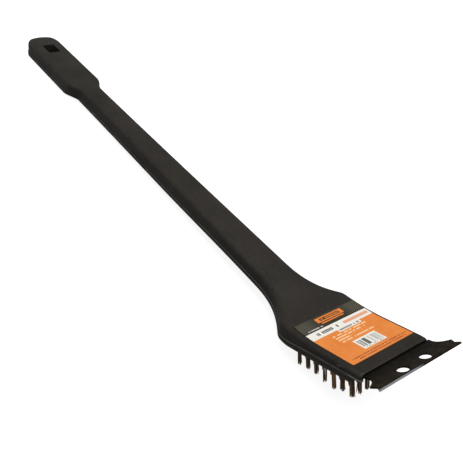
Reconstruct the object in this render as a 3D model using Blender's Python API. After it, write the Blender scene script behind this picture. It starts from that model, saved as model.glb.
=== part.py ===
"""Grill cleaning brush: a one-piece moulded handle and head, a stamped steel scraper
and a grid of wire tufts, with a printed film label on the head.

The parts are laid out in the head's own frame and one empty turns them into the resting
pose. In the head's frame X points to the scraper, Y across the brush and Z away from the
tips of the tufts. X = 0 is the front of the nose and Z = 0 is the face the tufts stand
in. All sizes are in metres."""
import math

import bmesh
import bpy
from mathutils import Matrix, Vector

# Overall layout along X, from the front of the nose (0) to the end of the grip.
GRIP_END_X = -0.41725
GRIP_SHOULDER_REAR_X = -0.3373
GRIP_SHOULDER_FRONT_X = -0.32115
SHOULDER_RAKE = 0.00455
UPRIGHT_REAR_X = -0.10085
UPRIGHT_FRONT_X = -0.0252
FLARE_REAR_X = -0.0958
FLARE_FRONT_X = -0.0597
FLARE_POWER = 2.5
FLARE_SOFT = 0.0014
BEND_REAR_X = -0.07236
BEND_FRONT_X = -0.02836
NOSE_ROUND_LENGTH = 0.00635

# Heights of the top surface, and how the handle rises from the head.
HANDLE_SLOPE = math.radians(21.58)
HEAD_SLOPE = 0.0225
HEAD_TOP_Z = 0.009035
NOSE_DROP = 0.0005
HANDLE_DEPTH = 0.0128
BEND_DEPTH = 0.0109
THINNING_REAR_X = -0.20165
BEND_SOFT = 0.0015

# Half widths of the outline in plan.
GRIP_HALF = 0.0149
NECK_HALF_REAR = 0.0093
NECK_HALF_FRONT = 0.0119
NECK_POWER = 1.5
HEAD_HALF = 0.0259
GRIP_END_LENGTH = 0.01515
GRIP_END_POWER = 2.15
GRIP_END_ROUND = 0.00705
GRIP_END_DROP = 0.00465
GRIP_END_LIFT = 0.0015
NOSE_CORNER_RADIUS = 0.0011

# The lower band under the parting line stands a little proud of the upper walls.
BAND_PROUD = 0.0005
BAND_HEIGHT_HANDLE = 0.00325
BAND_HEIGHT_HEAD = 0.00455
BOTTOM_ROUND = 0.0010
EDGE_ROUND_HEAD = 0.0024
EDGE_ROUND_HANDLE = 0.00305
CROWN_HANDLE = 0.0005

# Hanging hole through the grip.
HANG_HOLE_X = -0.39015
HANG_HOLE_LENGTH = 0.01575
HANG_HOLE_WIDTH = 0.0102
HANG_HOLE_CORNER = 0.0008

# Tufts: a grid of wire bundles set in blind holes.
TUFT_COLUMNS = 7
TUFT_ROWS = 8
TUFT_FRONT_X = -0.0112
TUFT_PITCH_X = 0.0065
TUFT_PITCH_Y = 0.0056
TUFT_TRIM = 0.0125
TUFT_SET_DEPTH = 0.00605
TUFT_RADIUS = 0.0014
TUFT_TIP_RADIUS = 0.00155
TUFT_SIDES = 10

# Scraper: a stamped plate that tilts up from the head.
SCRAPER_TILT = math.radians(11.6)
SCRAPER_TOP_Z_AT_NOSE = 0.00715
SCRAPER_THICK = 0.0010
SCRAPER_TAIL = 0.00735
SCRAPER_TAIL_HALF = 0.0233
SCRAPER_ROOT_HALF = 0.0249
SCRAPER_LENGTH = 0.01625
SCRAPER_HALF = 0.0305
SCRAPER_EAR_X = 0.0103
SCRAPER_EAR_POWER = 3.4
SCRAPER_EAR_HOLLOW = 0.0009
SCRAPER_NOTCH_X = 0.0134
SCRAPER_NOTCH = 0.0016
SCRAPER_HOLE_RADIUS = 0.00315
SCRAPER_HOLE_X = 0.0112
SCRAPER_HOLE_Y = 0.0084

# Posts moulded under the nose go through the scraper's tail and are melted into heads.
POST_X = -0.00375
POST_Y = 0.0126
POST_RADIUS = 0.0017
POST_HEAD_RADIUS = 0.00305
POST_HEAD_HEIGHT = 0.0011

# Recess under the nose, in front of the block that holds the tufts.
RECESS_DEPTH_X = 0.00785
RECESS_RIM_Z = 0.00375

# Label: a printed film on the head.
LABEL_REAR_X = -0.0512
LABEL_FRONT_X = -0.0073
LABEL_HALF = 0.0224
LABEL_THICK = 0.0003

GAP = 0.0003
RING_POINTS_EDGE = 4


def top_z(x):
    """Height of the top surface on the centre line: flat over the head, a parabola as
    it bends up, then the straight slope of the handle."""
    rise_rear = math.tan(HANDLE_SLOPE)
    if x > BEND_FRONT_X:
        z = HEAD_TOP_Z - HEAD_SLOPE * (x - BEND_FRONT_X)
        into = (x + NOSE_ROUND_LENGTH) / NOSE_ROUND_LENGTH
        if into > 0.0:
            z -= NOSE_DROP * (1.0 - math.sqrt(max(0.0, 1.0 - into * into)))
        return z
    bend = BEND_FRONT_X - BEND_REAR_X
    back = min(BEND_FRONT_X - x, bend)
    z = HEAD_TOP_Z + HEAD_SLOPE * back + (rise_rear - HEAD_SLOPE) * back * back / (2.0 * bend)
    return z + rise_rear * max(0.0, BEND_REAR_X - x)


def section_tilt(x):
    """How far the section at x leans from upright: square to the handle along the grip
    and neck, upright over the flare and the head."""
    upright = smooth_step((x - UPRIGHT_REAR_X) / (UPRIGHT_FRONT_X - UPRIGHT_REAR_X))
    return HANDLE_SLOPE * (1.0 - upright)


def section_depth(x):
    """Depth of the body along its leaning section: down to a line nearly parallel to
    the handle's top, or to the level face of the tufts where that is nearer, with a
    short rounded step between the two."""
    tilt = section_tilt(x)
    thinning = smooth_step((x - THINNING_REAR_X) / (FLARE_REAR_X - THINNING_REAR_X))
    depth = HANDLE_DEPTH + (BEND_DEPTH - HANDLE_DEPTH) * thinning
    above_line = (top_z(x) - top_z(BEND_REAR_X)) * math.cos(HANDLE_SLOPE)
    above_line += (x - BEND_REAR_X) * math.sin(HANDLE_SLOPE)
    to_line = (depth + max(0.0, above_line)) / math.cos(HANDLE_SLOPE - tilt)
    to_level = top_z(x) / math.cos(tilt)
    apart = to_line - to_level
    if abs(apart) < BEND_SOFT:
        return to_level - (BEND_SOFT - apart) ** 2 / (4.0 * BEND_SOFT)
    return min(to_line, to_level)


def grip_end(x, length):
    """0 along the grip, rising to 1 at its very end over the given length."""
    return min(1.0, max(0.0, 1.0 - (x - GRIP_END_X) / length))


def smooth_step(value):
    """Rises from 0 to 1 with level ends."""
    value = min(1.0, max(0.0, value))
    return value * value * (3.0 - 2.0 * value)


def half_width(x, rake=0.0):
    """Half the width of the body in plan: the neck widens slowly and flares into the
    head on a power curve, which is held back softly at the head's own width. The rake
    moves the grip's shoulder forward."""
    along = (x - GRIP_SHOULDER_FRONT_X) / (FLARE_REAR_X - GRIP_SHOULDER_FRONT_X)
    neck = NECK_HALF_REAR + (NECK_HALF_FRONT - NECK_HALF_REAR) * min(1.0, max(0.0, along)) ** NECK_POWER
    shoulder = (GRIP_SHOULDER_FRONT_X + rake - x) / (GRIP_SHOULDER_FRONT_X - GRIP_SHOULDER_REAR_X)
    flare = max(0.0, (x - FLARE_REAR_X) / (FLARE_FRONT_X - FLARE_REAR_X))
    flared = neck + (HEAD_HALF - neck) * flare ** FLARE_POWER
    beyond = flared - HEAD_HALF
    width = 0.5 * (flared + HEAD_HALF - math.hypot(beyond, FLARE_SOFT))
    width += (GRIP_HALF - neck) * smooth_step(shoulder)
    width *= (1.0 - grip_end(x, GRIP_END_LENGTH) ** GRIP_END_POWER) ** (1.0 / GRIP_END_POWER)
    corner = max(0.0, (x + NOSE_CORNER_RADIUS) / NOSE_CORNER_RADIUS)
    return width - NOSE_CORNER_RADIUS * (1.0 - math.sqrt(max(0.0, 1.0 - corner * corner)))


def headness(x):
    """0 along the handle, 1 over the head."""
    return smooth_step((x - BEND_REAR_X) / (BEND_FRONT_X - BEND_REAR_X))


def section(x):
    """Outline of the body at x as (y, drop) points for one side, where drop is measured
    down the leaning section from the top: crowned top, rounded edge, wall, proud band
    and rounded lower edge."""
    head = headness(x)
    rounding = 1.0 - math.sqrt(1.0 - grip_end(x, GRIP_END_ROUND) ** 2)
    top = GRIP_END_DROP * rounding
    bottom = section_depth(x) - GRIP_END_LIFT * rounding
    half = half_width(x)
    edge = EDGE_ROUND_HANDLE + (EDGE_ROUND_HEAD - EDGE_ROUND_HANDLE) * head
    edge = min(edge, 0.45 * half, 0.35 * (bottom - top))
    crown = CROWN_HANDLE * (1.0 - head)
    band = BAND_HEIGHT_HANDLE + (BAND_HEIGHT_HEAD - BAND_HEIGHT_HANDLE) * head
    wall = half_width(x, SHOULDER_RAKE) - BAND_PROUD
    low = min(BOTTOM_ROUND, 0.3 * half)
    points = [(0.0, top)]
    points += [((wall - edge) * part, top + crown * part * part) for part in (0.5, 1.0)]
    for step in range(1, RING_POINTS_EDGE + 1):
        turn = math.radians(90.0) * step / RING_POINTS_EDGE
        drop = top + crown + edge * (1.0 - math.cos(turn))
        points.append((wall - edge + edge * math.sin(turn), drop))
    points += [(wall, bottom - band - BAND_PROUD), (half, bottom - band), (half, bottom - low)]
    points += [(half - low * 0.3, bottom - low * 0.3), (half - low, bottom), (0.0, bottom)]
    return points


def on_section(x, y, drop):
    """Place of a section's point in the head's frame."""
    tilt = section_tilt(x)
    return Vector((x - drop * math.sin(tilt), y, top_z(x) - drop * math.cos(tilt)))


def stations():
    """X of each section: close together where the outline turns, wide on the straight."""
    spans = [
        (GRIP_END_X + 0.0001, GRIP_END_X + GRIP_END_LENGTH, 9, 2.0),
        (GRIP_END_X + GRIP_END_LENGTH, GRIP_SHOULDER_REAR_X, 3, 1.0),
        (GRIP_SHOULDER_REAR_X, GRIP_SHOULDER_FRONT_X + SHOULDER_RAKE, 8, 1.0),
        (GRIP_SHOULDER_FRONT_X + SHOULDER_RAKE, FLARE_REAR_X, 8, 1.0),
        (FLARE_REAR_X, FLARE_FRONT_X, 12, 1.0),
        (FLARE_FRONT_X, -NOSE_ROUND_LENGTH, 7, 1.0),
        (-NOSE_ROUND_LENGTH, 0.0, 7, 0.5),
    ]
    found = []
    for start, end, count, power in spans:
        found += [start + (end - start) * (step / count) ** power for step in range(count)]
    return found + [0.0]


def material(name, color, roughness, metallic):
    """One plain finish."""
    made = bpy.data.materials.new(name)
    made.use_nodes = True
    shader = made.node_tree.nodes["Principled BSDF"]
    shader.inputs["Base Color"].default_value = (*color, 1.0)
    shader.inputs["Roughness"].default_value = roughness
    shader.inputs["Metallic"].default_value = metallic
    return made


def add_object(name, mesh_data, finish, parent, smooth_angle=None):
    """Turn a bmesh into a named object under the resting-pose empty."""
    mesh = bpy.data.meshes.new(name)
    bmesh.ops.recalc_face_normals(mesh_data, faces=mesh_data.faces)
    mesh_data.to_mesh(mesh)
    mesh_data.free()
    if smooth_angle:
        mesh.shade_smooth()
        mesh.set_sharp_from_angle(angle=math.radians(smooth_angle))
    made = bpy.data.objects.new(name, mesh)
    bpy.context.collection.objects.link(made)
    made.parent = parent
    if finish:
        mesh.materials.append(finish)
    return made


def add_cut(target, name, mesh_data, operation="DIFFERENCE"):
    """Cut a shape out of the target, or join it on, and hide the tool."""
    tool = add_object(name, mesh_data, None, target.parent)
    tool.hide_render = True
    tool.display_type = "WIRE"
    cut = target.modifiers.new(name, "BOOLEAN")
    cut.operation = operation
    cut.object = tool
    return tool


def prism(mesh_data, outline, place, depth):
    """Extrude a closed outline of (x, y) points by depth along the local Z of place."""
    low = [mesh_data.verts.new(place @ Vector((x, y, 0.0))) for x, y in outline]
    high = [mesh_data.verts.new(place @ Vector((x, y, depth))) for x, y in outline]
    mesh_data.faces.new(low[::-1])
    mesh_data.faces.new(high)
    for index in range(len(outline)):
        after = (index + 1) % len(outline)
        mesh_data.faces.new((low[index], low[after], high[after], high[index]))


def circle(radius, sides, centre=(0.0, 0.0)):
    """Points round a circle."""
    turns = [math.tau * (step + 0.5) / sides for step in range(sides)]
    return [(centre[0] + radius * math.cos(t), centre[1] + radius * math.sin(t)) for t in turns]


def rounded_box(length, width, corner, steps=3):
    """Outline of a rectangle with round corners."""
    points = []
    for quarter in range(4):
        sign_x = (1, -1, -1, 1)[quarter]
        sign_y = (1, 1, -1, -1)[quarter]
        for step in range(steps + 1):
            turn = math.radians(90.0) * (quarter + step / steps)
            x = sign_x * (length / 2 - corner) + corner * math.cos(turn)
            y = sign_y * (width / 2 - corner) + corner * math.sin(turn)
            points.append((x, y))
    return points


def loft_body():
    """Join the body's sections, from the end of the grip to the nose."""
    made = bmesh.new()
    rings = []
    for x in stations():
        side = section(x)
        ring = [on_section(x, y, drop) for y, drop in side]
        ring += [on_section(x, -y, drop) for y, drop in side[-2:0:-1]]
        rings.append([made.verts.new(point) for point in ring])
    for first, second in zip(rings, rings[1:]):
        for index in range(len(first)):
            after = (index + 1) % len(first)
            made.faces.new((first[index], first[after], second[after], second[index]))
    for ring in (rings[0], rings[-1]):
        made.faces.new(ring)
    return made


def scraper_plane(offset=0.0):
    """Place whose local X runs forward along the scraper's top face and whose origin is
    on the centre line at the nose."""
    turn = Matrix.Rotation(-SCRAPER_TILT, 4, "Y")
    return Matrix.Translation((0.0, 0.0, SCRAPER_TOP_Z_AT_NOSE)) @ turn @ Matrix.Translation((0, 0, offset))


def tuft_places():
    """Name and (x, y) of each tuft. Columns count from the front, rows across."""
    for column in range(TUFT_COLUMNS):
        for row in range(TUFT_ROWS):
            x = TUFT_FRONT_X - TUFT_PITCH_X * column
            y = TUFT_PITCH_Y * (row - (TUFT_ROWS - 1) / 2)
            yield f"tuft_{column + 1}_{row + 1}", x, y


def hang_hole_tool():
    """A rounded rectangle that goes through the grip at right angles to its top."""
    made = bmesh.new()
    turn = Matrix.Rotation(HANDLE_SLOPE, 4, "Y")
    place = Matrix.Translation((HANG_HOLE_X, 0.0, top_z(HANG_HOLE_X))) @ turn
    outline = rounded_box(HANG_HOLE_LENGTH, HANG_HOLE_WIDTH, HANG_HOLE_CORNER)
    prism(made, outline, place @ Matrix.Translation((0, 0, -0.03)), 0.05)
    return made


def tuft_hole_tool():
    """All the blind holes that the tufts stand in."""
    made = bmesh.new()
    for _, x, y in tuft_places():
        place = Matrix.Translation((x, y, -0.002))
        prism(made, circle(TUFT_RADIUS + GAP, TUFT_SIDES), place, 0.002 + TUFT_SET_DEPTH + GAP)
    return made


def recess_tool():
    """The space under the nose, in front of the tuft block."""
    made = bmesh.new()
    wide = HEAD_HALF + 0.004
    outline = [(-RECESS_DEPTH_X, -wide), (0.004, -wide), (0.004, wide), (-RECESS_DEPTH_X, wide)]
    prism(made, outline, Matrix.Translation((0, 0, -0.003)), 0.003 + RECESS_RIM_Z)
    return made


def tail_pocket_tool():
    """The pocket between the nose's side rims, where the scraper's tail lies."""
    made = bmesh.new()
    half = SCRAPER_TAIL_HALF + GAP
    outline = [(-SCRAPER_TAIL - GAP, -half), (0.004, -half), (0.004, half), (-SCRAPER_TAIL - GAP, half)]
    prism(made, outline, scraper_plane(GAP - 0.006), 0.006)
    return made


def post_tool():
    """Two posts under the nose whose melted heads hold the scraper's tail."""
    made = bmesh.new()
    above = 0.0015
    below = -SCRAPER_THICK - GAP
    for y in (-POST_Y, POST_Y):
        prism(made, circle(POST_RADIUS, 12, (POST_X, y)), scraper_plane(below - 0.0002), above - below)
    return made


def post_head_tool():
    """The melted heads of the posts."""
    made = bmesh.new()
    for y in (-POST_Y, POST_Y):
        place = scraper_plane(-SCRAPER_THICK - GAP - POST_HEAD_HEIGHT)
        prism(made, circle(POST_HEAD_RADIUS, 12, (POST_X, y)), place, POST_HEAD_HEIGHT)
    return made


def build_handle_body(parent):
    """The one-piece moulding: grip, neck, head and nose."""
    finish = material("black_plastic", (0.022, 0.021, 0.020), 0.55, 0.0)
    body = add_object("handle_body", loft_body(), finish, parent, smooth_angle=28)
    add_cut(body, "cut_hang_hole", hang_hole_tool())
    add_cut(body, "cut_nose_recess", recess_tool())
    add_cut(body, "cut_tail_pocket", tail_pocket_tool())
    add_cut(body, "cut_tuft_holes", tuft_hole_tool())
    add_cut(body, "add_posts", post_tool(), "UNION")
    add_cut(body, "add_post_heads", post_head_tool(), "UNION")
    return body


def scraper_outline():
    """Half outline of the scraper as (x, y), from its tail to its front corner: a tail,
    a hollow curve out to the ear, a shallow notch and the pointed front corner."""
    points = [(-SCRAPER_TAIL, SCRAPER_TAIL_HALF), (GAP, SCRAPER_TAIL_HALF), (GAP, SCRAPER_ROOT_HALF)]
    steps = 9
    for step in range(1, steps + 1):
        part = step / steps
        x = GAP + (SCRAPER_EAR_X - GAP) * part
        rise = (SCRAPER_HALF - SCRAPER_ROOT_HALF) * part**SCRAPER_EAR_POWER
        points.append((x, SCRAPER_ROOT_HALF + rise - SCRAPER_EAR_HOLLOW * math.sin(math.pi * part)))
    points.append((SCRAPER_NOTCH_X, SCRAPER_HALF - SCRAPER_NOTCH))
    points.append((SCRAPER_LENGTH, SCRAPER_HALF))
    return points


def build_scraper(parent):
    """The stamped plate with its ears, its two round holes and its post holes."""
    made = bmesh.new()
    right = scraper_outline()
    outline = right + [(x, -y) for x, y in reversed(right)]
    prism(made, outline, scraper_plane(-SCRAPER_THICK), SCRAPER_THICK)
    finish = material("black_steel", (0.035, 0.032, 0.028), 0.42, 0.6)
    plate = add_object("scraper", made, finish, parent, smooth_angle=30)
    holes = bmesh.new()
    for y in (-SCRAPER_HOLE_Y, SCRAPER_HOLE_Y):
        prism(holes, circle(SCRAPER_HOLE_RADIUS, 24, (SCRAPER_HOLE_X, y)), scraper_plane(-0.006), 0.01)
    for y in (-POST_Y, POST_Y):
        prism(holes, circle(POST_RADIUS + GAP, 12, (POST_X, y)), scraper_plane(-0.006), 0.01)
    add_cut(plate, "cut_plate_holes", holes)
    return plate


def build_label(parent):
    """The printed film, which follows the hollow of the head's top."""
    made = bmesh.new()
    steps = 12
    rows = []
    for step in range(steps + 1):
        x = LABEL_REAR_X + (LABEL_FRONT_X - LABEL_REAR_X) * step / steps
        low = top_z(x) + GAP
        corners = [(-LABEL_HALF, low), (LABEL_HALF, low)]
        corners += [(LABEL_HALF, low + LABEL_THICK), (-LABEL_HALF, low + LABEL_THICK)]
        rows.append([made.verts.new((x, y, z)) for y, z in corners])
    for first, second in zip(rows, rows[1:]):
        for index in range(4):
            after = (index + 1) % 4
            made.faces.new((first[index], first[after], second[after], second[index]))
    made.faces.new(rows[0])
    made.faces.new(rows[-1])
    finish = material("label_film", (0.85, 0.32, 0.06), 0.4, 0.0)
    return add_object("label", made, finish, parent)


def build_tufts(parent):
    """One bundle of wires in each hole, spreading a little towards its tips."""
    profile = [
        (TUFT_RADIUS, TUFT_SET_DEPTH), (TUFT_RADIUS, 0.0),
        (TUFT_TIP_RADIUS, -0.7 * TUFT_TRIM), (0.8 * TUFT_TIP_RADIUS, -TUFT_TRIM),
    ]
    made = bmesh.new()
    rings = [[made.verts.new((x, y, z)) for x, y in circle(r, TUFT_SIDES)] for r, z in profile]
    for first, second in zip(rings, rings[1:]):
        for index in range(TUFT_SIDES):
            after = (index + 1) % TUFT_SIDES
            made.faces.new((first[index], first[after], second[after], second[index]))
    made.faces.new(rings[0])
    made.faces.new(rings[-1])
    finish = material("brassed_steel_wire", (0.30, 0.20, 0.10), 0.4, 0.9)
    shared = add_object("tuft_pattern", made, finish, parent, smooth_angle=40)
    for name, x, y in tuft_places():
        tuft = bpy.data.objects.new(name, shared.data)
        bpy.context.collection.objects.link(tuft)
        tuft.parent = parent
        tuft.location = (x, y, 0.0)
    bpy.data.objects.remove(shared)


def resting_pose():
    """Turn that lays the brush on the rear row of tuft tips and the end of the grip, and
    the shift that puts the lowest line on Z = 0 and the middle of its box on X = 0."""
    tuft_rear = TUFT_FRONT_X - TUFT_PITCH_X * (TUFT_COLUMNS - 1)
    tuft_point = Vector((tuft_rear - 0.8 * TUFT_TIP_RADIUS, 0.0, -TUFT_TRIM))
    grip_x = GRIP_END_X + GRIP_END_ROUND
    grip_point = on_section(grip_x, 0.0, section_depth(grip_x))
    across = tuft_point - grip_point
    turn = Matrix.Rotation(-math.atan2(-across.z, across.x), 4, "Y")
    lowest = (turn @ tuft_point).z
    end_x = stations()[0]
    rear = min((turn @ on_section(end_x, y, drop)).x for y, drop in section(end_x))
    front = (turn @ scraper_plane() @ Vector((SCRAPER_LENGTH, 0.0, -SCRAPER_THICK))).x
    return Matrix.Translation((-0.5 * (rear + front), 0.0, -lowest)) @ turn


def build():
    """Make the whole brush."""
    for old in list(bpy.data.objects):
        bpy.data.objects.remove(old, do_unlink=True)
    rest = bpy.data.objects.new("resting_pose", None)
    bpy.context.collection.objects.link(rest)
    rest.matrix_world = resting_pose()
    build_handle_body(rest)
    build_scraper(rest)
    build_label(rest)
    build_tufts(rest)


build()
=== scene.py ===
import math

import bpy
import numpy as np
from mathutils import Matrix, Vector


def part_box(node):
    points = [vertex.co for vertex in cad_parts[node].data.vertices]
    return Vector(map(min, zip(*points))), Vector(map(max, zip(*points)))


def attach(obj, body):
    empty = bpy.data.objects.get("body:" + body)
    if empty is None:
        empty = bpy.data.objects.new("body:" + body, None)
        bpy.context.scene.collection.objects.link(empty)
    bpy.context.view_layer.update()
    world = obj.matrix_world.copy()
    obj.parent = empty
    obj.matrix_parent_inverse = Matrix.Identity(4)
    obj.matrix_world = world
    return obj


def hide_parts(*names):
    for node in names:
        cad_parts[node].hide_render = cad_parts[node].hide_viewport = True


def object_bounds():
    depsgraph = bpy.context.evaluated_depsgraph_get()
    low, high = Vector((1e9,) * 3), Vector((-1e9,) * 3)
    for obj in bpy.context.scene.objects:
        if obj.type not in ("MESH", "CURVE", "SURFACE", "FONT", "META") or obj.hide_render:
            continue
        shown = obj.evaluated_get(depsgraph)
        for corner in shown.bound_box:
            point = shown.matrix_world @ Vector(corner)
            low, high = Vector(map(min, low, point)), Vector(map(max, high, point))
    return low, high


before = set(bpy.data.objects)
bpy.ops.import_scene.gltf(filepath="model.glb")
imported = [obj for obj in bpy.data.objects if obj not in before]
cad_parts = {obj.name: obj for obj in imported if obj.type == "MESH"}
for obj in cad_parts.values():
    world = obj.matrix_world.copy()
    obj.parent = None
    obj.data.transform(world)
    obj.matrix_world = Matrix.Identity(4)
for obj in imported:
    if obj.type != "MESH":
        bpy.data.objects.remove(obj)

cad_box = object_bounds()

# Layout along X.
GRIP_END_X = -0.41725
SHOULDER_REAR_X, SHOULDER_FRONT_X, SHOULDER_RAKE = -0.3373, -0.32115, 0.00455
UPRIGHT_REAR_X, UPRIGHT_FRONT_X = -0.10085, -0.0252
FLARE_REAR_X, FLARE_FRONT_X, FLARE_POWER, FLARE_SOFT = -0.0958, -0.0597, 2.5, 0.0014
BEND_REAR_X, BEND_FRONT_X = -0.07236, -0.02836
THINNING_REAR_X = -0.20165
NOSE_ROUND_LENGTH = 0.00635

# Heights and depths.
HANDLE_SLOPE = math.radians(21.58)
HEAD_SLOPE, HEAD_TOP_Z, NOSE_DROP = 0.0225, 0.009035, 0.0007
HANDLE_DEPTH, BEND_DEPTH, BEND_SOFT = 0.0128, 0.0109, 0.0015

# Half widths.
GRIP_HALF, HEAD_HALF = 0.0149, 0.0259
NECK_HALF_REAR, NECK_HALF_FRONT, NECK_POWER = 0.0093, 0.0119, 1.5
GRIP_END_LENGTH, GRIP_END_POWER, GRIP_END_ROUND = 0.01515, 2.15, 0.00705
GRIP_END_DROP, GRIP_END_LIFT = 0.00465, 0.0015
NOSE_WALL_RADIUS, NOSE_BAND_RADIUS = 0.0016, 0.0011

# The band under the parting line, and the rounding of the edges.
BAND_PROUD = 0.0005
BAND_HEIGHT_HANDLE, BAND_HEIGHT_HEAD = 0.00325, 0.00455
BOTTOM_ROUND, EDGE_ROUND_HEAD, EDGE_ROUND_HANDLE = 0.0010, 0.0026, 0.0033
CROWN_HANDLE, LEDGE_ROUND = 0.0005, 0.00018
SKIN = 0.00001

# Points of one side of a section, and how pale the plastic is painted along three runs of them: the top edge,
# the ledge at the parting line and the lower edge. The paleness is partly rubbed wear and partly painted
# highlight where these edges catch the light.
SIDE_POINTS = 35
RUB_AND_HIGHLIGHT_RUNS = ((9, 13, 0.18), (19, 23, 1.0), (26, 30, 0.55))
RUB_AND_HIGHLIGHT_HANDLE, RUB_AND_HIGHLIGHT_NOSE_EXTRA, RUB_AND_HIGHLIGHT_NOSE_REAR_X, RUB_AND_HIGHLIGHT_NOSE_LENGTH, RUB_AND_HIGHLIGHT_MARK = 0.75, 0.6, -0.014, 0.012, 1.2

# Hanging hole.
HOLE_X, HOLE_LENGTH, HOLE_WIDTH, HOLE_CORNER, HOLE_LIP = -0.39015, 0.01575, 0.0102, 0.0008, 0.0003
HOLE_LIP_TURN = math.radians(72.0)

# How far the cutting tools reach past the surface they cut.
TOOL_REACH = 0.004

# Raised mould line on the near wall.
MARK_REAR_X, MARK_LENGTH, MARK_LOW_Z, MARK_RISE, MARK_RADIUS = -0.0168, 0.0066, 0.0046, 0.0026, 0.00016

# Tufts.
TUFT_COLUMNS, TUFT_ROWS = 7, 8
TUFT_FRONT_X, TUFT_PITCH_X, TUFT_PITCH_Y = -0.0112, 0.0065, 0.0056
TUFT_TRIM, TUFT_SET_DEPTH, TUFT_RADIUS = 0.0125, 0.00605, 0.0014
HOLE_CLEARANCE, HOLE_CHAMFER = 0.0003, 0.0002
LONGER = {"4_1": 0.0018, "3_1": 0.0025, "2_1": 0.0013, "1_1": 0.0008, "1_2": 0.0021, "1_3": 0.0020}
WIRES_PER_TUFT, WIRE_RADIUS, WIRE_SIDES, WIRE_RINGS = 17, 0.00025, 6, 6
THIN_TUFT, WIRES_IN_THIN_TUFT = "4_1", 9
GOLDEN_ANGLE, WIRE_TIP_TAPER, TUFT_SEED = 2.39996, 0.72, 7

# Scraper.
SCRAPER_TILT = math.radians(11.6)
SCRAPER_TOP_Z, SCRAPER_THICK, SCRAPER_TAIL, SCRAPER_LENGTH = 0.00715, 0.0010, 0.00735, 0.01625
TAIL_HALF, ROOT_HALF, SCRAPER_HALF = 0.0233, 0.0249, 0.0305
EAR_X, EAR_POWER, EAR_HOLLOW, NOTCH_X, NOTCH = 0.0103, 3.4, 0.0009, 0.0134, 0.0018
PLATE_HOLE_RADIUS, PLATE_HOLE_X, PLATE_HOLE_Y = 0.00315, 0.0112, 0.0084
PLATE_BURR, PUNCH_REACH = 0.00015, 0.003
POST_X, POST_Y, POST_RADIUS, POST_HEAD_RADIUS, POST_HEAD_HEIGHT = -0.00375, 0.0126, 0.0017, 0.00305, 0.0011

# Space under the nose.
RECESS_DEPTH_X, RECESS_RIM_Z, GAP = 0.00785, 0.00375, 0.0003

# Label.
LABEL_REAR_X, LABEL_FRONT_X, LABEL_HALF = -0.0512, -0.0073, 0.0224
LABEL_LIFT, LABEL_THICK, LABEL_CURL, LABEL_CURL_POWER = 0.00004, 0.00016, 0.00012, 24

# Print on the label, in millimetres from its rear edge.
STRIP_REAR, STRIP_FRONT, TAB_FRONT = 9.6, 15.6, 17.9
PATCH_REAR, PATCH_FRONT = 28.4, 37.7

# Printing inks.
ORANGE = (0.66, 0.180, 0.022, 1.0)
PALE = (0.85, 0.52, 0.26, 1.0)
WHITE = (0.74, 0.72, 0.66, 1.0)
OLIVE = (0.0200, 0.0180, 0.0090, 1.0)
HATCH = (0.125, 0.115, 0.078, 1.0)
INK = (0.060, 0.058, 0.055, 1.0)
DARK_RED = (0.21, 0.018, 0.008, 1.0)
CREAM = (0.90, 0.66, 0.40, 1.0)
EDGE_BROWN = (0.16, 0.055, 0.015, 1.0)

# Camera, in the head's frame.
CAMERA_LENS = 49.66
CAMERA_PLACE = Vector((0.1791, -0.2196, 0.1867))
CAMERA_AZIMUTH = math.radians(54.987)
CAMERA_ELEVATION = math.radians(21.251)
CAMERA_ROLL = math.radians(-4.40)

# Floor and lights.
FLOOR_HALF, FLOOR_GAP, FLOOR_GLOW = 4.0, 0.0002, 0.88
LIGHT_PLACE, LIGHT_SIZE, LIGHT_POWER, SURROUND = (0.15, 0.10, 1.5), 1.8, 30.0, 0.32


def rest_matrix():
    """Matrix from the head's frame to the world. Its turn comes from the line between
    two tufts of one row, its shift from where the first of them lies."""
    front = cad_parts["tuft_1_4"]
    along = (np.array(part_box("tuft_1_4")) - np.array(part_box("tuft_7_4"))).mean(axis=0)
    turn = Matrix.Rotation(-math.atan2(along[2], along[0]), 4, "Y")
    places = np.empty(len(front.data.vertices) * 3)
    front.data.vertices.foreach_get("co", places)
    back = places.reshape(-1, 3) @ np.array(turn.to_3x3())
    middle_x = 0.5 * (back[:, 0].min() + back[:, 0].max())
    shift = Vector((middle_x - TUFT_FRONT_X, 0.0, back[:, 2].max() - TUFT_SET_DEPTH))
    return turn @ Matrix.Translation(shift)


REST = rest_matrix()


def to_world(points):
    """Head-frame points, as an array whose last axis is x, y, z, carried to the world."""
    matrix = np.array(REST)
    return points @ matrix[:3, :3].T + matrix[:3, 3]


# ---------------------------------------------------------------- mesh helpers


def make_mesh(name, points, faces, smooth=32.0):
    """A mesh object at the origin from world points and faces, shaded smooth except at
    edges sharper than the given angle in degrees."""
    mesh = bpy.data.meshes.new(name)
    mesh.from_pydata(points.reshape(-1, 3).tolist(), [], faces)
    mesh.update()
    mesh.shade_smooth()
    mesh.set_sharp_from_angle(angle=math.radians(smooth))
    made = bpy.data.objects.new(name, mesh)
    bpy.context.collection.objects.link(made)
    return made


def grid_faces(rows, columns, wrap=False, first=0):
    """Quads between neighbouring rows and columns of a grid of points."""
    last = columns if wrap else columns - 1
    row, column = np.meshgrid(np.arange(rows - 1), np.arange(last), indexing="ij")
    after = (column + 1) % columns
    corners = (row * columns + column, row * columns + after,
               (row + 1) * columns + after, (row + 1) * columns + column)
    return (first + np.stack(corners, axis=-1).reshape(-1, 4)).tolist()


def tube_solid(rings):
    """Points and faces of a closed solid: quads between rings, one face on each end."""
    count, sides = rings.shape[:2]
    faces = grid_faces(count, sides, wrap=True)
    faces.append(list(range(sides))[::-1])
    faces.append(list(range((count - 1) * sides, count * sides)))
    return rings.reshape(-1, 3), faces


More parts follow.
